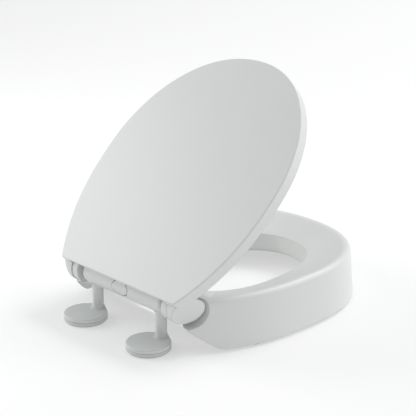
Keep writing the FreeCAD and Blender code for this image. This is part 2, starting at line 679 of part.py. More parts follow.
def arm_hollow(rise):
    """What is cleared under an arm: its roof climbs from the skirt's edge to the arm's inner face."""
    wires = []
    for y, skirt_x, skirt_z, inner_z in ARM_HOLLOW:
        corners = [Vector(ARM_INNER_X - PAST, y, -FAR), Vector(ARM_INNER_X - PAST, y, inner_z + rise),
                   Vector(skirt_x, y, skirt_z + rise), Vector(skirt_x, y, -FAR)]
        wires.append(Part.makePolygon(corners + corners[:1]))
    room = Part.makeLoft(wires, True, True)
    start = HINGE_Y - ARM_REAR_Y - REAR_TRIM
    insets = [skirt_inset(z) + SEAT_WALL for z in (-PAST, SEAT_TOP)]
    return room.common(outline_solid(SEAT, insets, start, [-PAST, SEAT_TOP]))


def seat_cavity():
    depth = SEAT_TOP - SEAT_WALL
    insets = [skirt_inset(-PAST) + SEAT_WALL, skirt_inset(depth) + SEAT_WALL]
    block = outline_solid(SEAT, insets, HINGE_Y - CAVITY_REAR_Y, [-PAST, depth])
    block = block.cut(dish_solid(SEAT_WALL))
    block = block.cut(hole_prism(LIP_WALL, -FAR, FAR))
    room = ARM_INNER_X + SEAT_WALL
    arm = arm_hollow(SEAT_WALL)
    return block.cut([prism_x(middle_profile(MIDDLE_WALL), -room, room), arm, mirrored(arm)])


def knuckles():
    return both_sides(rod_x(KNUCKLE_R, KNUCKLE_INNER_X, KNUCKLE_OUTER_X))


def seat_bosses():
    bosses = []
    for x, y in COVER_SCREW_SPOTS:
        top = dish_height(x, HINGE_Y - y) - SEAT_WALL + BOSS_ROOT
        for side in (-1, 1):
            bosses.append(rod_z(BOSS_R, side * x, y, COVER_TOP, top))
    return bosses


def cover_screws():
    screws = []
    under = COVER_TOP - COVER_THICKNESS
    for x, y in COVER_SCREW_SPOTS:
        for side in (-1, 1):
            head = rod_z(COVER_SCREW_HEAD_R, side * x, y, under - COVER_SCREW_HEAD_HEIGHT, under)
            shank = rod_z(COVER_SCREW_R, side * x, y, under, under + COVER_SCREW_DEPTH)
            screws.append(head.fuse(shank))
    return screws


def rounded_seat(body):
    """Rounds the dish's outer edge and the top of the rear wall."""
    rear, run, z = dish_section(1)
    rim = loop(rear, run, z, chord_parameters(rear), chord_parameters(run))
    body = body.makeFillet(DISH_EDGE_R, edges_on(body, rim))
    wall = edges_at(body, lambda e: (abs(e.BoundBox.YMin - SEAT_REAR_Y) < 0.05
                                     and abs(e.BoundBox.YMax - SEAT_REAR_Y) < 0.05
                                     and e.Length > SEAT.rear_half))
    return body.makeFillet(REAR_EDGE_R, wall)


def seat_shell():
    body = seat_blank()
    pocket = rod_x(POCKET_R, KNUCKLE_OUTER_X, FAR)
    pocket_top = box(KNUCKLE_OUTER_X, FAR, HINGE_Y - POCKET_TOP_REACH, FAR,
                     HINGE_Z + POCKET_TOP_DZ, FAR)
    rear_room = box(ARM_INNER_X, FAR, ARM_REAR_Y, FAR, 0, FAR)
    inner_room = box(ARM_INNER_X, KNUCKLE_INNER_X, HINGE_Y - KNUCKLE_R - PAST, FAR, MID_REAR_Z, FAR)
    side_cuts = [pocket, pocket_top, rear_room, inner_room, arm_hollow(0.0)]
    middle = prism_x(middle_profile(0.0), -ARM_INNER_X, ARM_INNER_X)
    slope = prism_x(arm_underside(), -FAR, FAR)
    body = body.cut(side_cuts + [mirrored(cut) for cut in side_cuts] + [middle, slope])
    body = body.fuse(knuckles())
    body = body.cut([dish_solid(0.0), hole_prism(0.0, -PAST, FAR), seat_cavity()])
    body = body.cut(hole_prism(LIP_WALL + LOOSE_GAP, -PAST, COVER_TOP))
    body = rounded_seat(body.fuse(seat_bosses()))
    bush_bore = rod_x(BUSH_R, -KNUCKLE_OUTER_X - PAST, -KNUCKLE_INNER_X + PAST)
    shaft_bore = rod_x(SHAFT_R, KNUCKLE_INNER_X - PAST, KNUCKLE_OUTER_X + PAST)
    return body.cut([bush_bore, shaft_bore] + cover_screws())


def seat_underside_cover():
    under = COVER_TOP - COVER_THICKNESS
    inset = skirt_inset(COVER_TOP) + SEAT_WALL + LOOSE_GAP
    plate = outline_solid(SEAT, [inset, inset], HINGE_Y - CAVITY_REAR_Y + LOOSE_GAP,
                          [under, COVER_TOP])
    plate = plate.cut(hole_prism(0.0, 0.0, FAR))
    room = ARM_INNER_X + SEAT_WALL + LOOSE_GAP
    arm = arm_hollow(SEAT_WALL + LOOSE_GAP)
    plate = plate.cut([prism_x(middle_profile(MIDDLE_WALL + LOOSE_GAP), -room, room),
                       arm, mirrored(arm)])
    plate = max(plate.Solids, key=lambda solid: solid.Volume)   # without the scraps behind the arms
    legs = []
    leg_x, leg_y = BUMPER_LEG_SIZE
    for x, y in BUMPER_SPOTS:
        leg = box(x - leg_x / 2, x + leg_x / 2, y - leg_y / 2, y + leg_y / 2,
                  BUMPER_SIZE[2], under)
        leg = leg.cut(rod_z(BUMPER_STEM_R, x, y, 0, BUMPER_SIZE[2] + BUMPER_STEM_HEIGHT))
        legs.extend([leg, mirrored(leg)])
    return plate.fuse(legs).cut(cover_screws())


def seat_bumper(x, y):
    size_x, size_y, height = BUMPER_SIZE
    foot = box(x - size_x / 2, x + size_x / 2, y - size_y / 2, y + size_y / 2, 0, height)
    upright = edges_at(foot, lambda e: e.BoundBox.ZLength > 1)
    foot = foot.makeFillet(BUMPER_CORNER_R, upright)
    return foot.fuse(rod_z(BUMPER_STEM_R, x, y, height, height + BUMPER_STEM_HEIGHT))


# ---------------------------------------------------------------- lid
def lid_ear():
    lobe = rod_x(EAR_R, EAR_INNER_X, FAR)
    top = HINGE_Z + LID_TOP - PAST
    bound = outline_solid(LID, [EAR_INSET, EAR_INSET], -EAR_R - PAST, [0.0, top])
    return lobe.common(bound)


def lid_boss(x, along):
    foot = dish_height(x + LID_BUMPER_R, along) + LID_BUMPER_GAP + LID_BUMPER_HEIGHT
    top = HINGE_Z + LID_TOP - LID_SKIN + BOSS_ROOT
    return rod_z(LID_BUMPER_R + LID_BOSS_LEDGE, x, HINGE_Y - along, foot, top)


def lid_bumper(x, along):
    foot = dish_height(x + LID_BUMPER_R, along) + LID_BUMPER_GAP
    bumper = rod_z(LID_BUMPER_R, x, HINGE_Y - along, foot, foot + LID_BUMPER_HEIGHT)
    lower = edges_at(bumper, lambda e: abs(e.BoundBox.ZMax - foot) < 0.01)
    return opened(bumper.makeFillet(LID_BUMPER_ROUNDING, lower))


def hinge_rooms():
    """What the lid leaves free for the bar and the seat's knuckles at every angle."""
    bar_room = rod_x(BAR_R + LID_BAR_GAP, -EAR_INNER_X, EAR_INNER_X)
    knuckle_room = rod_x(KNUCKLE_R + LID_KNUCKLE_GAP, KNUCKLE_INNER_X - EAR_GAP, EAR_INNER_X)
    profile = [(HINGE_Y - along, HINGE_Z + height) for along, height in LID_UNDERCUT]
    undercut = prism_x(profile, -EAR_INNER_X, EAR_INNER_X)
    return [bar_room, knuckle_room, mirrored(knuckle_room), undercut]


def lid_shell():
    low = HINGE_Z + LID_UNDERSIDE
    high = HINGE_Z + LID_TOP
    plate = outline_solid(LID, [0.0, 0.0], LID.rear, [low, high])
    corners = edges_at(plate, lambda e: e.BoundBox.ZLength > 5 and e.BoundBox.YMin > HINGE_Y)
    plate = plate.makeFillet(LID_CORNER_R, corners)
    rim = edges_at(plate, lambda e: e.BoundBox.ZMin > high - 0.5)
    plate = plate.makeFillet(LID_EDGE_ROUNDING, rim)
    ceiling = high - LID_SKIN
    hollow = outline_solid(LID, [LID_WALL, LID_WALL], EAR_R + LID_REAR_MARGIN,
                           [low - PAST, ceiling])
    plate = plate.cut([hollow] + hinge_rooms())
    bosses = []
    for x, along in LID_BUMPER_SPOTS:
        bosses.extend([lid_boss(x, along), mirrored(lid_boss(x, along))])
    shell = plate.fuse([both_sides(lid_ear())] + bosses)
    bore_end = SHAFT_OUTER_X + BORE_END_GAP
    keyed_bore = rod_x(SHAFT_R, -bore_end, -EAR_INNER_X + PAST)
    bush_bore = rod_x(BUSH_R, EAR_INNER_X - PAST, bore_end)
    return opened(shell.cut([keyed_bore, bush_bore]))


# ---------------------------------------------------------------- export
def main():
    os.makedirs("parts", exist_ok=True)
    save_pair("disc_pad", disc_pad())
    save_pair("disc_base", disc_base())
    save_pair("disc_cap", disc_cap())
    save_pair("mounting_pin", mounting_pin())
    save("pin_screws", Part.makeCompound([pin_screw(), mirrored(pin_screw())]))
    save("hinge_bar_shell", hinge_bar_shell())
    save("hinge_bar_cover", hinge_bar_cover())
    save("hinge_bar_screws", Part.makeCompound(
        bar_screws(BAR_SCREW_R, BAR_SCREW_HEAD_R, HINGE_Y + BAR_SCREW_HEAD_Y,
                   HINGE_Y + BAR_SCREW_TIP_Y)))
    save("seat_damper_housing", damper_housing())
    save("lid_damper_housing", mirrored(damper_housing()))
    save("seat_damper_shaft", damper_shaft())
    save("lid_damper_shaft", mirrored(damper_shaft()))
    save("seat_knuckle_bush", mirrored(bush(KNUCKLE_INNER_X, KNUCKLE_OUTER_X)))
    save("lid_ear_bush", bush(EAR_INNER_X, SHAFT_OUTER_X + BORE_END_GAP))
    save("release_button", release_button())
    save_pair("latch_slider", latch_slider())
    save("button_spring", spring_tube(ALONG_Y, SPRING_R,
                                      Vector(0, HINGE_Y + SPRING_FRONT_Y, HINGE_Z + SPRING_DZ),
                                      SPRING_REAR_Y - SPRING_FRONT_Y))
    spring_start = TAB_INNER_X + TAB_THICKNESS
    save_pair("latch_spring", spring_tube(ALONG_X, LATCH_SPRING_R,
                                          Vector(spring_start, HINGE_Y, HINGE_Z + LATCH_SPRING_DZ),
                                          DAMPER_INNER_X - spring_start))
    save("seat_shell", seat_shell())
    save("seat_underside_cover", seat_underside_cover())
    save("seat_cover_screws", Part.makeCompound(cover_screws()))
    for place, (x, y) in zip(("rear", "front"), BUMPER_SPOTS):
        save_pair("seat_bumper_" + place, seat_bumper(x, y))
    save("lid_shell", lid_shell())
    for place, (x, along) in zip(("rear", "front"), LID_BUMPER_SPOTS):
        save_pair("lid_bumper_" + place, lid_bumper(x, along))


main()
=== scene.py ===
import bpy
import json
import math
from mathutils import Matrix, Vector


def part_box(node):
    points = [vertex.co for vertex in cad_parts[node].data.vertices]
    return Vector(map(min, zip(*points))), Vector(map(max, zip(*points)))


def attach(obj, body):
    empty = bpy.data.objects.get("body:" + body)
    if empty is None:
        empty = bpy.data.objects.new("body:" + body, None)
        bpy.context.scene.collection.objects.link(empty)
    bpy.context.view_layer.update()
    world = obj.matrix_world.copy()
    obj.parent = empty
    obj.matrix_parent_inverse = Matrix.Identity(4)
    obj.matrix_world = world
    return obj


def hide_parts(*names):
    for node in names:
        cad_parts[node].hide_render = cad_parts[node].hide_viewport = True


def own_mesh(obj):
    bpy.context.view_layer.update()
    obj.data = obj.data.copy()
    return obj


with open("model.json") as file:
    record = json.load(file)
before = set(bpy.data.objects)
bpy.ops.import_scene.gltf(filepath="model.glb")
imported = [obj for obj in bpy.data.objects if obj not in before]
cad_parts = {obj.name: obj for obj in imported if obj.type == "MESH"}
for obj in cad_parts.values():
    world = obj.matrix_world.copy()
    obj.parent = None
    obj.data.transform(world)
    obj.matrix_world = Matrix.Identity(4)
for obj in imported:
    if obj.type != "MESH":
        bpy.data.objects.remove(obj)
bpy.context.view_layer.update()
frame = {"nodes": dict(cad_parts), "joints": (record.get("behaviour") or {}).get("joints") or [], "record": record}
cad = frame["nodes"]
joints = {joint["name"]: joint for joint in frame["joints"]}
hinge = Vector(joints["seat_hinge"]["pos_m"])

# ---------------------------------------------------------------- sizes of the pieces, in mm
MM = 0.001

# Cap of a fixing disc: reaches from its axis, and heights above the bowl. A roll is a rounding.
CAP_REACH = 32.5
CAP_FOOT = 6.5
CAP_FACE = 12.2
CAP_WALL = 2.4
CAP_CHAMFER = 0.8           # its lower edge is drawn in by this much
CAP_FACE_ROLL = 2.0
CAP_CHAMFER_ROLL = 0.5
CAP_FOOT_ROLL = 0.3
CAP_INSIDE_ROLL = 0.4
COLLAR_REACH = 12.0         # the low collar round the mounting pin
COLLAR_START = 11.0         # its foot lies inside the cap's wall
COLLAR_TOP = 13.4
COLLAR_CHAMFER = 0.8
COLLAR_ROLL = 0.5
COLLAR_TRIM = 31.9          # the collar ends here, where it would pass the cap's edge
COLLAR_TRIM_SPAN = (10.5, 14.0)
PIN_ROOM = 4.05             # reach of the hole for the pin
PIN_ROOM_SPAN = (5.0, 20.0)

# Flare at the head of a post: a sleeve from its bore out to a curve of (reach, height).
FLARE_BORE = 6.0
FLARE_TOP = 53.0
FLARE_CURVE = ((8.22, 40.0), (8.5, 44.0), (9.1, 47.0), (10.4, 49.6), (12.6, 51.6))
FLARE_DEPTH = 0.74          # its depth from front to back, as a share of its length along the bar

# Release button: how fine a skin it is rebuilt with, and how hard and how often that is rubbed.
BUTTON_SKIN = 0.36
RUB_STRENGTH = 0.5
RUBS = 5

# Coil springs: thickness of the wire, and how the coils are drawn.
WIRE = 0.8
WIRE_SIDES = 12
STEPS_A_TURN = 36
BUTTON_COIL_TURNS = 9
LATCH_COIL_TURNS = 7

# Screws: reach and height of the head, reach of the shank and its length under the head.
BAR_SCREW = {"head": (2.6, 2.0), "shank": 1.5, "length": 16.5}
COVER_SCREW = {"head": (3.6, 2.0), "shank": 1.75, "length": 16.0}
BAR_SCREW_X = 22.0          # the two inner screws of the bar stand this far from its middle
# The cover's screws on the right of the seat, from back to front; those on the left mirror them.
COVER_SCREW_SPOTS = ((128.0, -110.0), (140.0, -205.0), (122.0, -300.0), (55.0, -388.0))
THREAD_PITCH = 1.4
THREAD_ROOT = 0.8           # share of the shank's reach
PLAIN_NECK = 1.0
SCREW_TIP = 0.8
HEAD_ROLL = 0.45            # share of the head's height
UNDER_HEAD_ROLL = 0.1
RECESS_WIDTH = 0.22         # the cross recess, as shares of the head's reach
RECESS_SPAN = 1.1
RECESS_DEPTH = 1.2          # and of its height

# Feet under the seat, each with a stem that is pushed into the underside cover.
FOOT_HEIGHT = 9.0
FOOT_CORNER_ROLL = 3.0
FOOT_SOLE_ROLL = 1.4
STEM_REACH = 2.5
STEM_START = 8.5
STEM_TOP = 15.0
STEM_ROLL = 0.6

# Stops under the lid.
STOP_REACH = 6.0
STOP_HALF_HEIGHT = 3.5
STOP_FACE = 3.6             # reach of its flat face
STOP_FACE_ROLL = 0.6
STOP_CROWN = 0.5            # the face stands out from the rim by this much
STOP_RIM_ROLL = 1.2
STOP_BACK_ROLL = 0.5

# How finely a piece is drawn, and how near to each other two points are one.
ARC_STEPS = 4
BEVEL_STEPS = 5
CAP_SIDES = 128
PIN_ROOM_SIDES = 48
COLLAR_SIDES = 64
FLARE_SIDES = 64
SCREW_SIDES = 40
STEM_SIDES = 40
STOP_SIDES = 64
SMOOTH_BELOW = math.radians(38)
WELD = 0.01
FINE_WELD = 0.005


# ---------------------------------------------------------------- camera, light and floor, in metres
EYE = Vector((-1.30248, 1.04823, 0.76882))
AIM = Vector((0.0, -0.18307, 0.14954))
LENS = 108.71
SENSOR = 36.0
FARTHEST_SEEN = 50.0
# Softboxes: name, place, aim, size and power in watts.
SOFTBOXES = (
    ("near_side_box", (1.30, 0.56, 0.84), (0.0, -0.1, 0.21), (1.0, 1.0), 10.8),
    ("high_front_box", (-1.0, -5.5, 6.0), (0.0, -0.2, 0.1), (4.5, 3.5), 300.0),
    ("low_front_box", (-4.5, -5.0, 2.25), (0.0, -0.2, 0.05), (3.0, 3.0), 90.0),
    ("ceiling_box", (0.0, -1.0, 3.3), (0.0, -0.1, 0.1), (2.8, 2.8), 13.0),
)
AIR_COLOUR = (0.98, 0.99, 1.0, 1.0)
AIR_STRENGTH = 0.50
FLOOR_SIZE = 40.0
FLOOR_LEVEL = -0.0003
FLOOR_COLOUR = (0.55, 0.55, 0.55, 1.0)
FLOOR_GLOW_COLOUR = (1.0, 1.0, 1.0, 1.0)
FLOOR_GLOW = 0.39


def facing(aim, place):
    return (Vector(aim) - Vector(place)).to_track_quat("-Z", "Y").to_euler()


def add_camera():
    bpy.ops.object.camera_add(location=EYE)
    camera = bpy.context.object
    camera.name = "rear_view"
    camera.rotation_euler = facing(AIM, EYE)
    camera.data.lens = LENS
    camera.data.sensor_width = SENSOR
    camera.data.clip_end = FARTHEST_SEEN
    bpy.context.scene.camera = camera


def add_softbox(name, place, aim, size, power):
    bpy.ops.object.light_add(type="AREA", location=place)
    lamp = bpy.context.object
    lamp.name = name
    lamp.rotation_euler = facing(aim, place)
    lamp.data.shape = "RECTANGLE"
    lamp.data.size = size[0]
    lamp.data.size_y = size[1]
    lamp.data.energy = power


def add_studio():
    world = bpy.data.worlds.new("studio_air")
    bpy.context.scene.world = world
    world.use_nodes = True
    air = world.node_tree.nodes["Background"]
    air.inputs["Color"].default_value = AIR_COLOUR
    air.inputs["Strength"].default_value = AIR_STRENGTH
    for softbox in SOFTBOXES:
        add_softbox(*softbox)
    bpy.context.scene.view_settings.view_transform = "Standard"


def add_floor():
    bpy.ops.object.select_all(action="DESELECT")
    bpy.ops.mesh.primitive_plane_add(size=FLOOR_SIZE, location=(0.0, 0.0, FLOOR_LEVEL))
    floor = bpy.context.object
    floor.name = "floor"
    pale = bpy.data.materials.new("pale_floor")
    pale.use_nodes = True
    shader = pale.node_tree.nodes["Principled BSDF"]
    shader.inputs["Base Color"].default_value = FLOOR_COLOUR
    shader.inputs["Roughness"].default_value = 1.0
    shader.inputs["Specular IOR Level"].default_value = 0.0
    shader.inputs["Emission Color"].default_value = FLOOR_GLOW_COLOUR
    shader.inputs["Emission Strength"].default_value = FLOOR_GLOW
    floor.data.materials.append(pale)


# ---------------------------------------------------------------- finishes
DRIFT_SIZE = 14.0
DRIFT_DETAIL = 3.0
GRAIN_DETAIL = 2.0
GRAIN_DEPTH = 0.2           # in mm


def finish(name, colour, roughness, metallic=0.0, coat=0.0, coat_roughness=0.1,
           grain=0.0, grain_size=900.0, drift=0.0, rough_drift=0.0, brushed=None, edge=0.5):
    """A material on Object coordinates: fine grain as bump, slow drift in colour and in gloss.

    Edges catch the light as if rounded to the radius edge, in mm. A brushed finish draws its
    grain out by the three factors given, and takes its gloss from the grain."""
    made = bpy.data.materials.new(name)
    made.use_nodes = True
    tree = made.node_tree
    shader = tree.nodes["Principled BSDF"]
    shader.inputs["Metallic"].default_value = metallic
    shader.inputs["Coat Weight"].default_value = coat
    shader.inputs["Coat Roughness"].default_value = coat_roughness
    place = tree.nodes.new("ShaderNodeTexCoord")
    stretch = tree.nodes.new("ShaderNodeMapping")
    tree.links.new(place.outputs["Object"], stretch.inputs["Vector"])
    if brushed:
        stretch.inputs["Scale"].default_value = brushed
    slow = tree.nodes.new("ShaderNodeTexNoise")
    slow.inputs["Scale"].default_value = DRIFT_SIZE
    slow.inputs["Detail"].default_value = DRIFT_DETAIL
    tree.links.new(place.outputs["Object"], slow.inputs["Vector"])
    shade = tree.nodes.new("ShaderNodeMix")
    shade.data_type = "RGBA"
    shade.inputs["A"].default_value = (*[c * (1.0 - drift) for c in colour], 1.0)
    shade.inputs["B"].default_value = (*[min(1.0, c * (1.0 + drift)) for c in colour], 1.0)
    tree.links.new(slow.outputs["Fac"], shade.inputs["Factor"])
    tree.links.new(shade.outputs["Result"], shader.inputs["Base Color"])
    fine = tree.nodes.new("ShaderNodeTexNoise")
    fine.inputs["Scale"].default_value = grain_size
    fine.inputs["Detail"].default_value = GRAIN_DETAIL
    tree.links.new(stretch.outputs["Vector"], fine.inputs["Vector"])
    gloss = tree.nodes.new("ShaderNodeMapRange")
    gloss.inputs["To Min"].default_value = roughness - rough_drift
    gloss.inputs["To Max"].default_value = roughness + rough_drift
    tree.links.new((fine if brushed else slow).outputs["Fac"], gloss.inputs["Value"])
    tree.links.new(gloss.outputs["Result"], shader.inputs["Roughness"])
    bump = tree.nodes.new("ShaderNodeBump")
    bump.inputs["Strength"].default_value = grain
    bump.inputs["Distance"].default_value = GRAIN_DEPTH * MM
    tree.links.new(fine.outputs["Fac"], bump.inputs["Height"])
    soft_edge = tree.nodes.new("ShaderNodeBevel")
    soft_edge.inputs["Radius"].default_value = edge * MM
    tree.links.new(soft_edge.outputs["Normal"], bump.inputs["Normal"])
    tree.links.new(bump.outputs["Normal"], shader.inputs["Normal"])
    return made


FINISHES = {
    "shell": finish("moulded_shell", (0.70, 0.715, 0.70), 0.40, coat=0.10, coat_roughness=0.25,
                    grain=0.04, drift=0.012, rough_drift=0.03, edge=2.2),
    "hinge": finish("moulded_hinge", (0.67, 0.685, 0.67), 0.36, coat=0.1, grain=0.08,
                    drift=0.015, rough_drift=0.03),
    "disc": finish("moulded_disc", (0.65, 0.67, 0.655), 0.38, coat=0.1, grain=0.10,
                   drift=0.02, rough_drift=0.04),
    "button": finish("moulded_button", (0.66, 0.675, 0.66), 0.30, coat=0.2, grain=0.05,
                     drift=0.01, rough_drift=0.03),
    "base": finish("moulded_base", (0.60, 0.62, 0.61), 0.5, grain=0.25, grain_size=1400.0,
                   drift=0.03, rough_drift=0.05),
    "pad": finish("soft_pad", (0.50, 0.51, 0.51), 0.75, grain=0.5, grain_size=1600.0,
                  drift=0.06, rough_drift=0.08),
    "bumper": finish("soft_bumper", (0.60, 0.61, 0.605), 0.6, grain=0.35, grain_size=1500.0,
                     drift=0.04, rough_drift=0.08),
    "steel": finish("turned_steel", (0.56, 0.57, 0.58), 0.30, metallic=1.0, grain=0.15,
                    grain_size=500.0, drift=0.04, rough_drift=0.10, brushed=(1.0, 1.0, 14.0)),
    "spring": finish("spring_wire", (0.48, 0.49, 0.51), 0.26, metallic=1.0, grain=0.1,
                     drift=0.05, rough_drift=0.06),
    "damper": finish("dark_moulding", (0.035, 0.036, 0.040), 0.48, grain=0.4, grain_size=1200.0,
                     drift=0.10, rough_drift=0.07),
    "acetal": finish("natural_acetal", (0.74, 0.74, 0.70), 0.34, grain=0.08,
                     drift=0.02, rough_drift=0.04),
}


def paint(piece, slot):
    piece.data.materials.clear()
    piece.data.materials.append(FINISHES[slot])


def paint_cad_nodes():
    for part in frame["record"]["subparts"]:
        paint(cad[part["node"]], part["material_slot"])


# ---------------------------------------------------------------- making pieces
def work_on(piece):
    bpy.ops.object.select_all(action="DESELECT")
    piece.select_set(True)
    bpy.context.view_layer.objects.active = piece


def take(name):
    piece = bpy.context.object
    piece.name = name
    return piece


def at_origin(piece):
    """Leaves the piece's object at the origin, with its place in its mesh, and shades it smooth."""
    work_on(piece)
    bpy.ops.object.transform_apply(location=True, rotation=True, scale=True)
    bpy.ops.object.shade_smooth_by_angle(angle=SMOOTH_BELOW)


def apply_all(piece):
    work_on(piece)
    for modifier in list(piece.modifiers):
        bpy.ops.object.modifier_apply(modifier=modifier.name)


def joined(name, pieces):
    work_on(pieces[0])
    for piece in pieces:
        piece.select_set(True)
    bpy.ops.object.join()
    return take(name)


def combine(piece, tool, way):
    """Cuts the tool out of the piece, adds it or keeps what they share, and puts the tool away."""
    meeting = piece.modifiers.new("meeting", "BOOLEAN")
    meeting.object = tool
    meeting.operation = way
    meeting.solver = "EXACT"
    apply_all(piece)
    bpy.data.objects.remove(tool)


def rounded(corners):
    """The path through corners (reach, height, rounding), all in mm, as points in metres."""
    path = []
    for i, (reach, height, rounding) in enumerate(corners):
        here = Vector((reach, height))
        if rounding == 0:
            path.append(here * MM)
            continue
        start = here + (Vector(corners[i - 1][:2]) - here).normalized() * rounding
        end = here + (Vector(corners[i + 1][:2]) - here).normalized() * rounding
        for step in range(ARC_STEPS + 1):
            share = step / ARC_STEPS
            point = start * (1 - share) ** 2 + here * (2 * share * (1 - share)) + end * share ** 2
            path.append(point * MM)
    return path


def turned(name, corners, centre, sides, axis=(0, 0, 1)):
    """A piece turned on a lathe: its outline is drawn point by point and spun round the axis.

    Reach is measured along X, so the axis is square to X."""
    axis = Vector(axis)
    centre = Vector(centre)
    out = Vector((1, 0, 0))
    outline = [centre + out * reach + axis * height for reach, height in rounded(corners)]
    bpy.ops.object.select_all(action="DESELECT")
    bpy.ops.mesh.primitive_plane_add(size=MM, location=outline[0])
    piece = take(name)
    bpy.ops.object.mode_set(mode="EDIT")
    bpy.ops.mesh.select_mode(type="VERT")
    bpy.ops.mesh.select_all(action="SELECT")
    bpy.ops.mesh.merge(type="CENTER")
    for here, there in zip(outline, outline[1:]):
        bpy.ops.mesh.extrude_vertices_move(TRANSFORM_OT_translate={"value": there - here})
    bpy.ops.mesh.select_all(action="SELECT")
    bpy.ops.mesh.spin(steps=sides, angle=2 * math.pi, center=centre, axis=axis)
    bpy.ops.mesh.select_all(action="SELECT")
    bpy.ops.mesh.remove_doubles(threshold=WELD * MM)
    bpy.ops.mesh.normals_make_consistent(inside=False)
    bpy.ops.object.mode_set(mode="OBJECT")
    at_origin(piece)
    return piece


def plug(reach, span):
    """The outline of a plain round bar from one height to another."""
    bottom, top = span
    return [(0, bottom, 0), (reach, bottom, 0), (reach, top, 0), (0, top, 0)]


def ends(node):
    """The lowest and the highest corner of a CAD node's box."""
    low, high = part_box(node)
    return Vector(low), Vector(high)


def middle(node):
    low, high = ends(node)
    return (low + high) / 2


def fitted(piece, slot, body, *nodes):
    """Paints a piece, lets it ride on its body and puts it in place of its CAD nodes."""
    paint(piece, slot)
    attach(piece, body)
    if nodes:
        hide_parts(*nodes)
    return piece


# ---------------------------------------------------------------- discs and posts
def disc_cap(side, fixing):
    """Cap with a rolled edge, and a low collar round the pin, trimmed where it meets that edge."""
    inside = CAP_REACH - CAP_WALL
    ceiling = CAP_FACE - CAP_WALL
    cap = turned(side + "_cap",
                 [(0, ceiling, 0), (inside, ceiling, CAP_INSIDE_ROLL), (inside, CAP_FOOT, 0),
                  (CAP_REACH - CAP_CHAMFER, CAP_FOOT, CAP_FOOT_ROLL),
                  (CAP_REACH, CAP_FOOT + CAP_CHAMFER, CAP_CHAMFER_ROLL),
                  (CAP_REACH, CAP_FACE, CAP_FACE_ROLL), (0, CAP_FACE, 0)],
                 fixing, CAP_SIDES)
    pin = fixing + Vector((0, hinge.y, 0))
    collar = turned(side + "_collar",
                    [(0, COLLAR_START, 0), (COLLAR_REACH, COLLAR_START, 0), (COLLAR_REACH, CAP_FACE, 0),
                     (COLLAR_REACH - COLLAR_CHAMFER, COLLAR_TOP, COLLAR_ROLL), (0, COLLAR_TOP, 0)],
                    pin, COLLAR_SIDES)
    trim = turned(side + "_edge", plug(COLLAR_TRIM, COLLAR_TRIM_SPAN), fixing, CAP_SIDES)
    combine(collar, trim, "INTERSECT")
    combine(cap, collar, "UNION")
    room = turned(side + "_room", plug(PIN_ROOM, PIN_ROOM_SPAN), pin, PIN_ROOM_SIDES)
    combine(cap, room, "DIFFERENCE")
    at_origin(cap)
    fitted(cap, "disc", "hinge_base", side + "_disc_cap")


def post_flare(side, fixing):
    """The widening by which a post runs into the bar above it, drawn out along the bar."""
    foot = fixing + Vector((0, hinge.y, 0))
    bottom = FLARE_CURVE[0][1]
    widest = FLARE_CURVE[-1][0]
    corners = [(FLARE_BORE, bottom, 0), *[(reach, height, 0) for reach, height in FLARE_CURVE],
               (widest, FLARE_TOP, 0), (FLARE_BORE, FLARE_TOP, 0), (FLARE_BORE, bottom, 0)]
    flare = turned(side + "_post_flare", corners, foot, FLARE_SIDES)
    bpy.ops.object.mode_set(mode="EDIT")
    bpy.ops.mesh.select_all(action="SELECT")
    bpy.ops.transform.resize(value=(1.0, FLARE_DEPTH, 1.0), center_override=foot)
    bpy.ops.object.mode_set(mode="OBJECT")
    fitted(flare, "hinge", "hinge_base")


# ---------------------------------------------------------------- release button
def softened_copy(name, node):
    """A copy of a CAD node, rebuilt in one skin and rubbed smooth so that its edges are round."""
    piece = bpy.data.objects.new(name, cad[node].data.copy())
    bpy.context.scene.collection.objects.link(piece)
    work_on(piece)
    bpy.ops.object.mode_set(mode="EDIT")
    bpy.ops.mesh.select_all(action="SELECT")
    bpy.ops.mesh.remove_doubles(threshold=FINE_WELD * MM)
    bpy.ops.object.mode_set(mode="OBJECT")
    skin = piece.modifiers.new("skin", "REMESH")
    skin.mode = "VOXEL"
    skin.voxel_size = BUTTON_SKIN * MM
    rub = piece.modifiers.new("rub", "SMOOTH")
    rub.factor = RUB_STRENGTH
    rub.iterations = RUBS
    apply_all(piece)
    at_origin(piece)
    return piece


# ---------------------------------------------------------------- springs
def coil(name, node, axis, turns):
    """A coil spring in a CAD node's place: a ring of wire carried round and along the axis."""
    low, high = ends(node)
    length = (high - low)[axis]
    reach = (high - low)[(axis + 1) % 3] / 2 - WIRE * MM / 2
    bpy.ops.object.select_all(action="DESELECT")
    bpy.ops.mesh.primitive_circle_add(vertices=WIRE_SIDES, radius=WIRE * MM / 2, fill_type="NOTHING",
                                      location=(reach, 0, WIRE * MM / 2), rotation=(math.pi / 2, 0, 0))
    piece = take(name)
    bpy.ops.object.transform_apply(location=True, rotation=True, scale=True)
    winding = piece.modifiers.new("winding", "SCREW")
    winding.axis = "Z"
    winding.iterations = turns
    winding.screw_offset = (length - WIRE * MM) / turns
    winding.steps = STEPS_A_TURN
    winding.render_steps = STEPS_A_TURN
    winding.use_merge_vertices = False
    apply_all(piece)
    bpy.ops.object.mode_set(mode="EDIT")
    bpy.ops.mesh.select_all(action="SELECT")
    bpy.ops.mesh.fill_holes(sides=0)
    bpy.ops.mesh.select_all(action="SELECT")
    bpy.ops.mesh.normals_make_consistent(inside=False)
    bpy.ops.object.mode_set(mode="OBJECT")
    piece.rotation_euler = (0, math.pi / 2, 0) if axis == 0 else (-math.pi / 2, 0, 0)
    start = (low + high) / 2
    start[axis] = low[axis]
    piece.location = start
    at_origin(piece)
    return piece


def spring_on(name, node, axis, turns, held_high=False):
    """A coil on the hinge base in place of its CAD node; the end it is held by is worked out but not used."""
    low, high = ends(node)
    piece = fitted(coil(name, node, axis, turns), "spring", "hinge_base", node)
    anchor = middle(node)
    anchor[axis] = high[axis] if held_high else low[axis]
    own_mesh(piece)


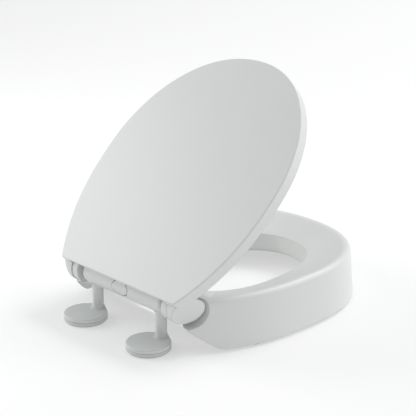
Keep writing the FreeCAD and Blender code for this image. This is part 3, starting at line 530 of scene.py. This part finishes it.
# ---------------------------------------------------------------- screws
def screw(name, place, axis, kind):
    """A pan head screw with its head's underside at place, threads as rings, and a cross recess."""
    head_reach, head_height = kind["head"]
    shank, length = kind["shank"], kind["length"]
    root = shank * THREAD_ROOT
    corners = [(0, -head_height, 0), (head_reach, -head_height, head_height * HEAD_ROLL),
               (head_reach, 0, UNDER_HEAD_ROLL), (shank, 0, 0)]
    for ring in range(int((length - 2 * PLAIN_NECK) / THREAD_PITCH)):
        height = PLAIN_NECK + ring * THREAD_PITCH
        corners += [(root, height, 0), (shank, height + THREAD_PITCH / 4, 0),
                    (root, height + THREAD_PITCH / 2, 0)]
    corners += [(root, length - SCREW_TIP, 0), (0, length, 0)]
    piece = turned(name, corners, place, SCREW_SIDES, axis)
    top = Vector(place) - Vector(axis) * head_height * MM
    along = 2 if abs(axis[2]) > 0.5 else 1
    for across in (3 - along, 0):
        size = [head_reach * RECESS_WIDTH * MM] * 3
        size[across] = head_reach * RECESS_SPAN * MM
        size[along] = head_height * RECESS_DEPTH * MM
        bpy.ops.object.select_all(action="DESELECT")
        bpy.ops.mesh.primitive_cube_add(size=1.0, location=top, scale=size)
        combine(piece, take("bit"), "DIFFERENCE")
    at_origin(piece)
    return piece


def copies(piece, places):
    """The piece at the first place, and copies of it with their own meshes at the others, as one."""
    made = [piece]
    for place in places[1:]:
        twin = piece.copy()
        twin.data = piece.data.copy()
        bpy.context.scene.collection.objects.link(twin)
        twin.location = Vector(place) - Vector(places[0])
        made.append(twin)
    whole = joined(piece.name, made)
    at_origin(whole)
    return whole


# ---------------------------------------------------------------- seat feet and lid stops
def round_off(piece, roll, chosen):
    """Rounds the edges that are chosen by the heights of their two ends."""
    bpy.ops.object.mode_set(mode="EDIT")
    bpy.ops.mesh.select_mode(type="EDGE")
    bpy.ops.mesh.select_all(action="DESELECT")
    bpy.ops.object.mode_set(mode="OBJECT")
    for edge in piece.data.edges:
        edge.select = chosen(*[piece.data.vertices[v].co.z for v in edge.vertices])
    bpy.ops.object.mode_set(mode="EDIT")
    bpy.ops.mesh.bevel(offset=roll * MM, segments=BEVEL_STEPS, profile=0.5)
    bpy.ops.object.mode_set(mode="OBJECT")


def seat_foot(name, node):
    """A rubber foot with rounded corners and a rolled lower edge, on a stem."""
    low, high = ends(node)
    centre = (low + high) / 2
    height = FOOT_HEIGHT * MM
    bpy.ops.object.select_all(action="DESELECT")
    bpy.ops.mesh.primitive_cube_add(size=1.0, location=(centre.x, centre.y, low.z + height / 2),
                                    scale=(high.x - low.x, high.y - low.y, height))
    piece = take(name)
    bpy.ops.object.transform_apply(location=True, rotation=True, scale=True)
    sole = low.z + WELD * MM
    round_off(piece, FOOT_CORNER_ROLL, lambda a, b: abs(a - b) > MM)
    round_off(piece, FOOT_SOLE_ROLL, lambda a, b: max(a, b) < sole)
    stem = turned(name + "_stem",
                  [(0, STEM_START, 0), (STEM_REACH, STEM_START, 0),
                   (STEM_REACH, STEM_TOP, STEM_ROLL), (0, STEM_TOP, 0)],
                  (centre.x, centre.y, low.z), STEM_SIDES)
    piece = joined(name, [piece, stem])
    at_origin(piece)
    return piece


def lid_stop(name, node, axis):
    face = -STOP_HALF_HEIGHT
    return turned(name,
                  [(0, face, 0), (STOP_FACE, face, STOP_FACE_ROLL),
                   (STOP_REACH, face + STOP_CROWN, STOP_RIM_ROLL),
                   (STOP_REACH, STOP_HALF_HEIGHT, STOP_BACK_ROLL), (0, STOP_HALF_HEIGHT, 0)],
                  middle(node), STOP_SIDES, axis)


# ---------------------------------------------------------------- the bodies' pieces
def make_hinge_pieces():
    fixing_x = abs(middle("left_mounting_pin").x)
    for side, sign in (("left", -1), ("right", 1)):
        fixing = Vector((sign * fixing_x, 0, 0))
        disc_cap(side, fixing)
        post_flare(side, fixing)
    button_cap = softened_copy("button_cap", "release_button")
    fitted(button_cap, "button", "release_button", "release_button")
    spring_on("button_coil", "button_spring", 1, BUTTON_COIL_TURNS)
    for side in ("left", "right"):
        spring_on(side + "_latch_coil", side + "_latch_spring", 0,
                  LATCH_COIL_TURNS, held_high=side == "right")
    low, high = ends("hinge_bar_screws")
    head_reach, head_height = BAR_SCREW["head"]
    inner = BAR_SCREW_X * MM
    across = (low.x + head_reach * MM, -inner, inner, high.x - head_reach * MM)
    places = [Vector((x, low.y + head_height * MM, (low.z + high.z) / 2)) for x in across]
    bar_screw = screw("bar_screws", places[0], (0, 1, 0), BAR_SCREW)
    fitted(copies(bar_screw, places), "steel", "hinge_base", "hinge_bar_screws")


def make_seat_pieces():
    for node in [name for name in cad if "seat_bumper" in name]:
        fitted(seat_foot(node.replace("seat_bumper", "foot"), node), "bumper", "seat", node)
    low, _ = ends("seat_cover_screws")
    under = low.z + COVER_SCREW["head"][1] * MM
    places = [Vector((sign * x * MM, y * MM, under)) for x, y in COVER_SCREW_SPOTS for sign in (-1, 1)]
    cover_screw = screw("cover_screws", places[0], (0, 0, 1), COVER_SCREW)
    fitted(copies(cover_screw, places), "steel", "seat", "seat_cover_screws")


def make_lid_pieces():
    """The lid's stops stand square to the lid, which is open by as much as its hinge can close."""
    open_angle = math.radians(-joints["lid_hinge"]["range_deg"][0])
    axis = (0, math.sin(open_angle), math.cos(open_angle))
    for node in [name for name in cad if "lid_bumper" in name]:
        stop = lid_stop(node.replace("lid_bumper", "lid_stop"), node, axis)
        fitted(stop, "bumper", "lid", node)


paint_cad_nodes()
make_hinge_pieces()
make_seat_pieces()
make_lid_pieces()

add_camera()
add_studio()
add_floor()
